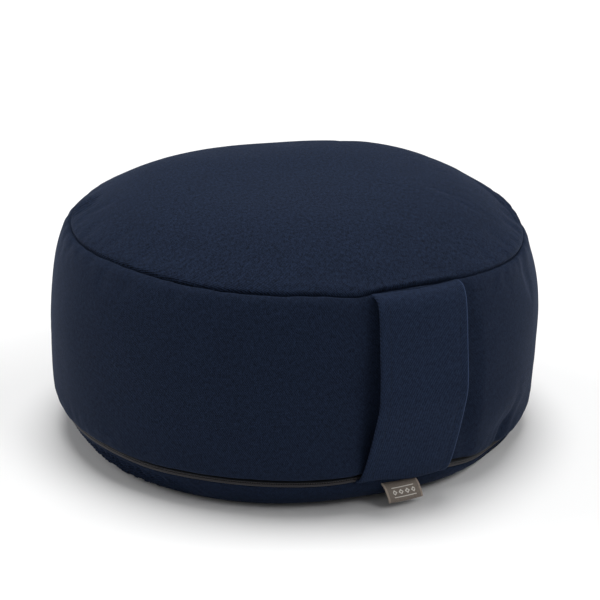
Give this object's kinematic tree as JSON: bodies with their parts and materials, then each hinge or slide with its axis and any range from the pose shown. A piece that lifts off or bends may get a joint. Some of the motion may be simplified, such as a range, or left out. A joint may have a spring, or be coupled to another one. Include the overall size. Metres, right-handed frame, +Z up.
{
  "type": "floor cushion",
  "caption": "Round drum-shaped floor cushion filled with loose husks, with a zipped twill cover and a folded carry strap on its side.",
  "frame": {"origin": "centre of the flat base, where the cushion rests on the floor", "axes": "+Z up through the middle of the drum, -Y towards the middle of the carry strap"},
  "size_m": [0.33, 0.3395, 0.173],
  "materials": {
    "cover_twill": "matte cotton twill, dark navy",
    "label_ribbon": "woven ribbon, taupe",
    "care_ribbon": "satin ribbon, white",
    "zipper_tape": "woven polyester tape, dark taupe",
    "zipper_coil": "polyester coil, dark taupe",
    "zipper_metal": "gunmetal, satin",
    "bag_cotton": "plain-weave cotton, unbleached",
    "bag_tape": "woven tape, natural",
    "bag_coil": "nylon coil, off-white",
    "husks": "dry husks, brown"
  },
  "bodies": {
    "cushion": {"cover_top_panel": "cover_twill", "cover_side_band": "cover_twill", "cover_bottom_panel": "cover_twill", "woven_label": "label_ribbon", "care_label": "care_ribbon", "zipper_tape_upper": "zipper_tape", "zipper_tape_lower": "zipper_tape", "zipper_coil_upper": "zipper_coil", "zipper_coil_lower": "zipper_coil", "zipper_closed_end_stop": "zipper_metal", "zipper_open_end_stop": "zipper_metal", "inner_bag_top_panel": "bag_cotton", "inner_bag_side_band": "bag_cotton", "inner_bag_bottom_panel": "bag_cotton", "inner_zipper_tape_upper": "bag_tape", "inner_zipper_tape_lower": "bag_tape", "inner_zipper_coil_upper": "bag_coil", "inner_zipper_coil_lower": "bag_coil", "husk_filling": "husks"},
    "strap": {"carry_strap": "cover_twill"},
    "slider": {"zipper_slider": "zipper_metal"},
    "pull": {"zipper_pull": "zipper_metal"},
    "inner_slider": {"inner_zipper_slider": "zipper_metal", "inner_zipper_pull": "zipper_metal"}
  },
  "joints": [
    {"name": "strap_lift", "type": "slide", "parent": "cushion", "child": "strap", "axis": [0, -1, 0], "range_m": [0, 0.02], "stiffness_N_per_m": 60},
    {"name": "zipper_run", "type": "hinge", "parent": "cushion", "child": "slider", "pos_m": [0, 0, 0.0202], "axis": [0, 0, 1], "range_deg": [0, 152]},
    {"name": "pull_flip", "type": "hinge", "parent": "slider", "child": "pull", "pos_m": [-0.01395, 0.15939, 0.019], "axis": [0, 0, 1], "range_deg": [0, 180]},
    {"name": "inner_zipper_run", "type": "hinge", "parent": "cushion", "child": "inner_slider", "pos_m": [0, 0, 0.08], "axis": [0, 0, 1], "range_deg": [0, 48]}
  ]
}
